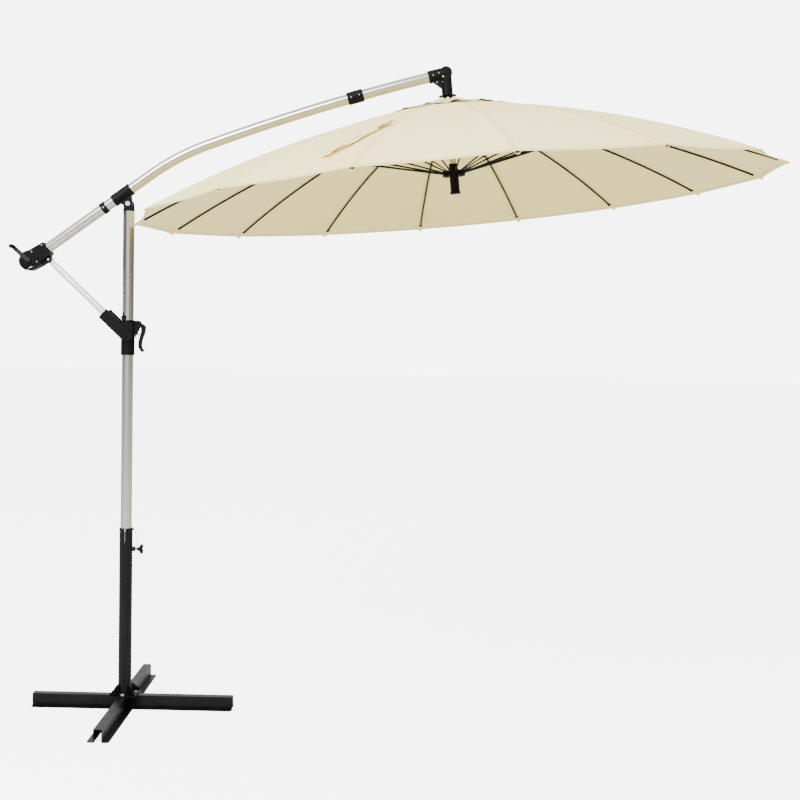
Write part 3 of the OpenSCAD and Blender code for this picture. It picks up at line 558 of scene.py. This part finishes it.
# Beads round the mouths of the moulded sockets
ring_piece("elbow_bead_boom", ELBOW @ Vector((-0.0735, 0, 0)), ELBOW_WAY,
           BOOM_R + 0.0043, 0.0017, moulded_nylon, "boom")
ring_piece("elbow_bead_pole", CANOPY @ Vector((0, 0, HANG - 0.0905)), CANOPY_WAY,
           BOOM_R + 0.0013, 0.0016, moulded_nylon, "boom")
for name, t, proud, wire in (
    ("tee_bead_low", -0.0442, 0.0039, 0.0016),
    ("tee_bead_high", 0.0442, 0.0039, 0.0016),
    ("stop_bead_low", -0.1046, 0.0033, 0.0012),
    ("stop_bead_high", -0.0834, 0.0033, 0.0012),
):
    ring_piece(name, boom_point(t, 0, 0), BOOM_WAY, BOOM_R + proud, wire, moulded_nylon, "boom")
joint_slope = sweep_slope - SWEEP_ANGLE * 0.625
for label, step in (("low", -0.0325), ("middle", 0.0), ("high", 0.0325)):
    a = joint_slope - step / SWEEP_R
    middle = along(sweep_centre, a + QUARTER, SWEEP_R)
    ring_piece("joint_bead_" + label, middle, (math.cos(a), 0, math.sin(a)),
               BOOM_R + 0.0048, 0.0015, moulded_nylon, "boom")
ring_piece("mast_head_bead", (0, 0, 2.1375), (0, 0, 1), 0.0242, 0.0018, moulded_nylon, "mast")
ring_piece("sleeve_bead_low", (0, 0, 1.5275), (0, 0, 1), 0.0303, 0.0016, moulded_nylon, "sleeve")
ring_piece("sleeve_bead_middle", (0, 0, 1.5560), (0, 0, 1), 0.0291, 0.0010, moulded_nylon, "sleeve")
# Eyelet on the sleeve for the wind cord
ring_piece("sleeve_eyelet", (-0.013, -0.0272, 1.6830), (0, 1, 0),
           0.0085, 0.0029, moulded_nylon, "sleeve", 36, 12)
# Brace fork: clamp bead where the tube goes in
brace_pin = along(along(tee_foot, BOOM_SLOPE, -0.415), BOOM_SLOPE - QUARTER, 0.041)
brace_way = (Vector((0, 0, SLEEVE_Z)) - brace_pin)
fork_mouth = brace_pin + brace_way.normalized() * (brace_way.length - 0.1375)
ring_piece("fork_bead", fork_mouth, brace_way, 0.0172, 0.0016, moulded_nylon, "brace")
# Post: rolled rim, weld bead at its foot
ring_piece("post_rim", (0, 0, 0.7795), (0, 0, 1), 0.0283, 0.0012, powder_coat, "base")
ring_piece("post_weld", (0, 0, 0.0610), (0, 0, 1), 0.0285, 0.0026, powder_coat, "base", 120, 10,
           ripple=lambda a: 0.18 * math.sin(46 * a) + 0.08 * math.sin(17 * a + 1))
# Runner: grip rings on the handle
for i in range(4):
    ring_piece(f"runner_ring_{i + 1}", CANOPY @ Vector((0, 0, 0.060 + 0.010 * i)), CANOPY_WAY,
               0.0195, 0.0011, moulded_nylon, "runner")


# ---------------------------------------------------------------- screws, placed by one node tree
def screw_tree():
    """Domed screw heads, each with a flat dark hexagon on top as painted shade for its socket, one at each point,
    facing along its "way".
    """
    tree = bpy.data.node_groups.new("socket_screws", "GeometryNodeTree")
    face = tree.interface
    face.new_socket("Points", in_out="INPUT", socket_type="NodeSocketGeometry")
    for label in ("Head radius", "Head height"):
        face.new_socket(label, in_out="INPUT", socket_type="NodeSocketFloat")
    face.new_socket("Steel", in_out="INPUT", socket_type="NodeSocketMaterial")
    face.new_socket("Painted socket shade", in_out="INPUT", socket_type="NodeSocketMaterial")
    face.new_socket("Screws", in_out="OUTPUT", socket_type="NodeSocketGeometry")
    given = add(tree, "NodeGroupInput").outputs
    crown = add(tree, "ShaderNodeMath", {0: given["Head radius"], 1: 0.72}, operation="MULTIPLY")
    head = add(tree, "GeometryNodeMeshCone", {
        "Vertices": 20, "Side Segments": 1, "Fill Segments": 1, "Radius Top": crown.outputs[0],
        "Radius Bottom": given["Head radius"], "Depth": given["Head height"]})
    flat = add(tree, "ShaderNodeMath", {0: given["Head radius"], 1: 0.42}, operation="MULTIPLY")
    proud = add(tree, "ShaderNodeMath", {0: given["Head height"], 1: 0.96}, operation="MULTIPLY")
    shift = add(tree, "ShaderNodeCombineXYZ", {"Z": proud.outputs[0]})
    # The socket is not a recess: it is a thin flat hexagon just above the head, later given a dark material as painted
    # shade.
    socket = add(tree, "GeometryNodeMeshCylinder", {"Vertices": 6, "Radius": flat.outputs[0], "Depth": 0.0003})
    socket = add(tree, "GeometryNodeTransform", {
        "Geometry": socket.outputs["Mesh"], "Translation": shift.outputs[0]})
    marked = add(tree, "GeometryNodeStoreNamedAttribute", {
        "Geometry": socket.outputs["Geometry"], "Name": "in socket", "Value": 1.0,
    }, data_type="FLOAT", domain="FACE")
    both = add(tree, "GeometryNodeJoinGeometry")
    tree.links.new(head.outputs["Mesh"], both.inputs["Geometry"])
    tree.links.new(marked.outputs["Geometry"], both.inputs["Geometry"])
    way = add(tree, "GeometryNodeInputNamedAttribute", {"Name": "way"}, data_type="FLOAT_VECTOR")
    turn = add(tree, "FunctionNodeAlignRotationToVector", {"Vector": way.outputs["Attribute"]}, axis="Z")
    placed = add(tree, "GeometryNodeInstanceOnPoints", {
        "Points": given["Points"], "Instance": both.outputs["Geometry"],
        "Rotation": turn.outputs["Rotation"]})
    real = add(tree, "GeometryNodeRealizeInstances", {"Geometry": placed.outputs["Instances"]})
    steel = add(tree, "GeometryNodeSetMaterial", {
        "Geometry": real.outputs["Geometry"], "Material": given["Steel"]})
    inside = add(tree, "GeometryNodeInputNamedAttribute", {"Name": "in socket"}, data_type="FLOAT")
    chosen = add(tree, "FunctionNodeCompare", {
        "A": inside.outputs["Attribute"], "B": 0.5}, operation="GREATER_THAN")
    dark = add(tree, "GeometryNodeSetMaterial", {
        "Geometry": steel.outputs["Geometry"], "Selection": chosen.outputs["Result"],
        "Material": given["Painted socket shade"]})
    out = add(tree, "NodeGroupOutput")
    tree.links.new(dark.outputs["Geometry"], out.inputs["Screws"])
    return tree


SCREWS = screw_tree()


def screws(name, places, radius, height, body):
    """Screw heads at places, given as (point, direction that the head faces)."""
    mesh = bpy.data.meshes.new(name)
    mesh.from_pydata([tuple(p) for p, _ in places], [], [])
    mesh.attributes.new("way", "FLOAT_VECTOR", "POINT").data.foreach_set(
        "vector", [c for _, d in places for c in d])
    obj = bpy.data.objects.new(name, mesh)
    bpy.context.scene.collection.objects.link(obj)
    hold = obj.modifiers.new("screws", "NODES")
    hold.node_group = SCREWS
    sockets = {i.name: i.identifier for i in SCREWS.interface.items_tree if i.in_out == "INPUT"}
    hold[sockets["Head radius"]] = radius
    hold[sockets["Head height"]] = height
    hold[sockets["Steel"]] = zinc_steel
    # Painted shade: the socket hexagons get the black nylon, standing in for the shade inside the recess.
    hold[sockets["Painted socket shade"]] = moulded_nylon
    baked(obj)
    sharp_edges(obj)
    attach(obj, body)
    return obj


front = (0, -1, 0)
screws("elbow_screws", [
    (ELBOW @ Vector((x, -0.0152, z)), front)
    for x, z in ((-0.046, -0.030), (-0.020, -0.034), (-0.006, -0.050))
], 0.0036, 0.0022, "boom")
screws("elbow_socket_screws", [
    (ELBOW @ Vector((-0.055, -0.0263, 0.0)), front), (ELBOW @ Vector((-0.030, -0.0263, 0.004)), front)
], 0.0034, 0.0020, "boom")
screws("case_screws_front", [
    (boom_point(t, -0.0275, n), front)
    for t, n in ((-0.457, -0.024), (-0.450, 0.022), (-0.399, 0.021), (-0.505, 0.031), (-0.508, -0.030))
], 0.0040, 0.0020, "boom")
screws("stop_collar_rivet", [(boom_point(-0.094, -0.0254, 0), front)], 0.0048, 0.0030, "boom")
screws("joint_rivets", [
    (along(sweep_centre, joint_slope - s / SWEEP_R + QUARTER, SWEEP_R) + Vector((0, -0.0269, 0)), front)
    for s in (-0.018, 0.018)
], 0.0030, 0.0018, "boom")


# ---------------------------------------------------------------- cord that shows when the canopy folds
def hose(name, line, radius, material, sides=12):
    """A round cord along a line of points that stays in the boom's plane."""
    points, faces = [], []
    for i, p in enumerate(line):
        way = (Vector(line[min(i + 1, len(line) - 1)]) - Vector(line[max(i - 1, 0)])).normalized()
        u = way.cross(Vector((0, 1, 0))).normalized()
        v = way.cross(u)
        for k in range(sides):
            a = math.tau * k / sides
            points.append(Vector(p) + (u * math.cos(a) + v * math.sin(a)) * radius)
    for i in range(len(line) - 1):
        for k in range(sides):
            n = (k + 1) % sides
            faces.append((i * sides + k, (i + 1) * sides + k, (i + 1) * sides + n, i * sides + n))
    obj = piece(name, points, faces, material)
    closed_mesh(obj)
    return obj


drop_line = [CANOPY @ Vector((0, 0, z)) for z in np.linspace(0.150, 0.042, 28)]
drop = hose("cord_drop", drop_line, 0.0023, cord_braid)
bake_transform(drop)


# ---------------------------------------------------------------- sewn details of the canopy
def on_cloth(k, r, share, up):
    """A point a little above the panel's top side."""
    x, y, z = cloth_point(r, share, k, CANOPY_R, CLOTH_LIFT, 0.004, 0.011)
    return np.array([x, y, z + up])


def ribbon(name, line, across, material, thick=0.0012):
    """A flat strap along a line of points, with a direction across it at each."""
    points = [q for p, a in zip(line, across) for q in (p - a, p - 0.4 * a, p + 0.4 * a, p + a)]
    faces = [(4 * i + j, 4 * i + j + 1, 4 * i + j + 5, 4 * i + j + 4)
             for i in range(len(line) - 1) for j in range(3)]
    uv = [(0.02 + 0.008 * j, 0.05 + 0.01 * i) for i in range(len(line)) for j in range(4)]
    return thicken(piece(name, in_canopy(points), faces, material), uv, thick)


# Tie strap, left loose and crumpled on the panel beside the fourth rib
for tag, offset, lift, phase in (("a", 0.0, 0.006, 0.0), ("b", -0.055, 0.005, 1.9)):
    line, across = [], []
    for i in range(64):
        t = i / 63
        r = 1.19 - 0.37 * t
        share = -0.34 + 0.30 * t + offset * (1 - 0.3 * t) + 0.012 * math.sin(8 * t + phase)
        high = lift + 0.0050 * (1 + math.sin(13 * t + phase) * math.sin(5 * t + 0.4))
        line.append(on_cloth(3, r, share, high))
        turn = 0.35 * math.sin(11 * t + phase) + 0.2 * math.sin(19 * t)
        a0 = rib_angle(3)
        side = np.array([-math.sin(a0), math.cos(a0), 0.0])
        across.append(0.014 * (side * math.cos(turn) + np.array([0, 0, 1.0]) * abs(math.sin(turn))))
    strap = ribbon("tie_strap_" + tag, line, across, canopy_cloth)
    fold_with(strap, 3)


def tip_pocket(k):
    """A small sewn pocket under the hem that holds the rib's tip."""
    points, rows, cols = [], 7, 11
    for j in range(rows):
        r = CANOPY_R - 0.046 + 0.043 * j / (rows - 1)
        width = 0.0135 - 0.004 * j / (rows - 1)
        for i in range(cols):
            a = math.pi * i / (cols - 1)
            deep = math.sin(a) ** 0.8 * 0.0112
            points.append((r, -math.cos(a) * width, float(bow_height(r, CLOTH_LIFT)) - 0.0008 - deep))
    points = np.array(points)
    a = rib_angle(k)
    placed = np.column_stack([
        points[:, 0] * math.cos(a) - points[:, 1] * math.sin(a),
        points[:, 0] * math.sin(a) + points[:, 1] * math.cos(a), points[:, 2]])
    faces = [(j * cols + i, j * cols + i + 1, (j + 1) * cols + i + 1, (j + 1) * cols + i)
             for j in range(rows - 1) for i in range(cols - 1)]
    uv = [(0.012 + 0.003 * i, 0.021 + 0.006 * j) for j in range(rows) for i in range(cols)]
    obj = thicken(piece(f"tip_pocket_{k + 1:02d}", in_canopy(placed), faces, canopy_cloth), uv, CLOTH)
    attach(obj, f"rib_{k + 1:02d}")


for k in range(RIBS):
    tip_pocket(k)

# Cloth gathered round the crown's collar
gather_points, gather_faces = [], []
around, rings = 192, 7
for j in range(rings):
    t = j / (rings - 1)
    for i in range(around):
        a = math.tau * i / around
        r = 0.0235 + 0.062 * t
        pleat = 0.5 + 0.5 * math.sin(11 * a + 0.7 * math.sin(3 * a))
        pleat *= math.sin(math.pi * min(1, 0.15 + 0.85 * t))
        z = float(bow_height(max(r, HINGE_R), CLOTH_LIFT + 0.0115)) + 0.0130 * pleat * (1 - 0.25 * t)
        gather_points.append((r * math.cos(a), r * math.sin(a), z))
for j in range(rings - 1):
    for i in range(around):
        n = (i + 1) % around
        gather_faces.append((j * around + i, (j + 1) * around + i, (j + 1) * around + n, j * around + n))
gather = piece("crown_gather", in_canopy(gather_points), gather_faces, canopy_cloth)
thicken(gather, [(0.02 + 0.0018 * i, 0.03 + 0.01 * j) for j in range(rings) for i in range(around)], CLOTH)
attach(gather, "boom")


# ---------------------------------------------------------------- stage
BACKDROP = 6.5      # how bright the white floor and surround look to the camera
FLOOR_LIT = 2.1     # what the lights already give the floor


def white_floor():
    """A seamless white floor, lit from below where the camera sees it, so that it meets the surround."""
    made, tree, shader = finish_of("white_studio_floor", Roughness=0.9)
    shader.inputs["Specular IOR Level"].default_value = 0.0
    place = add(tree, "ShaderNodeTexCoord")
    noise = add(tree, "ShaderNodeTexNoise", {"Vector": place.outputs["Object"], "Scale": 1.2, "Detail": 2.0})
    tint = add(tree, "ShaderNodeMapRange", {"Value": noise.outputs["Fac"], "To Min": 0.79, "To Max": 0.81})
    tree.links.new(tint.outputs["Result"], shader.inputs["Base Color"])
    ray = add(tree, "ShaderNodeLightPath")
    glow = add(tree, "ShaderNodeMath", {0: ray.outputs["Is Camera Ray"], 1: BACKDROP - FLOOR_LIT}, operation="MULTIPLY")
    shader.inputs["Emission Color"].default_value = (1, 1, 1, 1)
    tree.links.new(glow.outputs[0], shader.inputs["Emission Strength"])
    corners = [(-40, -40, -0.0005), (40, -40, -0.0005), (40, 40, -0.0005), (-40, 40, -0.0005)]
    piece("floor", corners, [(0, 1, 2, 3)], made, smooth=False)


def studio_surround():
    """A bright tent with a dark flag at each side, which draws the dark edges on the round tubes."""
    world = bpy.data.worlds.new("studio")
    bpy.context.scene.world = world
    world.use_nodes = True
    tree = world.node_tree
    tree.nodes.clear()
    look = add(tree, "ShaderNodeNewGeometry")
    way = add(tree, "ShaderNodeSeparateXYZ", {0: look.outputs["Incoming"]})
    sideways = add(tree, "ShaderNodeMath", {0: way.outputs["X"]}, operation="ABSOLUTE")
    flag = add(tree, "ShaderNodeMapRange", {
        "Value": sideways.outputs[0], "From Min": 0.30, "From Max": 0.62, "To Min": 1.0, "To Max": 0.10,
    }, interpolation_type="SMOOTHSTEP")
    height = add(tree, "ShaderNodeMath", {0: way.outputs["Z"]}, operation="ABSOLUTE")
    open_top = add(tree, "ShaderNodeMapRange", {
        "Value": height.outputs[0], "From Min": 0.35, "From Max": 0.65, "To Min": 0.0, "To Max": 1.0,
    }, interpolation_type="SMOOTHSTEP")
    tent = add(tree, "ShaderNodeMath", {
        0: flag.outputs["Result"], 1: open_top.outputs["Result"]}, operation="MAXIMUM")
    ray = add(tree, "ShaderNodeLightPath")
    lit = add(tree, "ShaderNodeMath", {0: tent.outputs[0], 1: 2.0}, operation="MULTIPLY")
    seen = add(tree, "ShaderNodeMix", {
        "Factor": ray.outputs["Is Camera Ray"], 2: lit.outputs[0], 3: BACKDROP}, data_type="FLOAT")
    sky = add(tree, "ShaderNodeBackground", {"Color": (1, 1, 1, 1), "Strength": seen.outputs[0]})
    out = add(tree, "ShaderNodeOutputWorld")
    tree.links.new(sky.outputs["Background"], out.inputs["Surface"])


white_floor()
studio_surround()


def soft_light(name, at, to, size, watts):
    """A soft box at a place, turned to face another."""
    data = bpy.data.lights.new(name, "AREA")
    data.shape = "RECTANGLE"
    data.size, data.size_y = size
    data.energy = watts
    obj = bpy.data.objects.new(name, data)
    bpy.context.scene.collection.objects.link(obj)
    obj.location = at
    obj.rotation_mode = "QUATERNION"
    obj.rotation_quaternion = (Vector(to) - Vector(at)).to_track_quat("-Z", "Y")


soft_light("key", (-1.5, -4.5, 5.5), (1.0, 0, 1.6), (3.5, 2.5), 820)
soft_light("fill", (5.0, -3.0, 4.0), (1.2, 0, 1.5), (2.5, 2.5), 90)
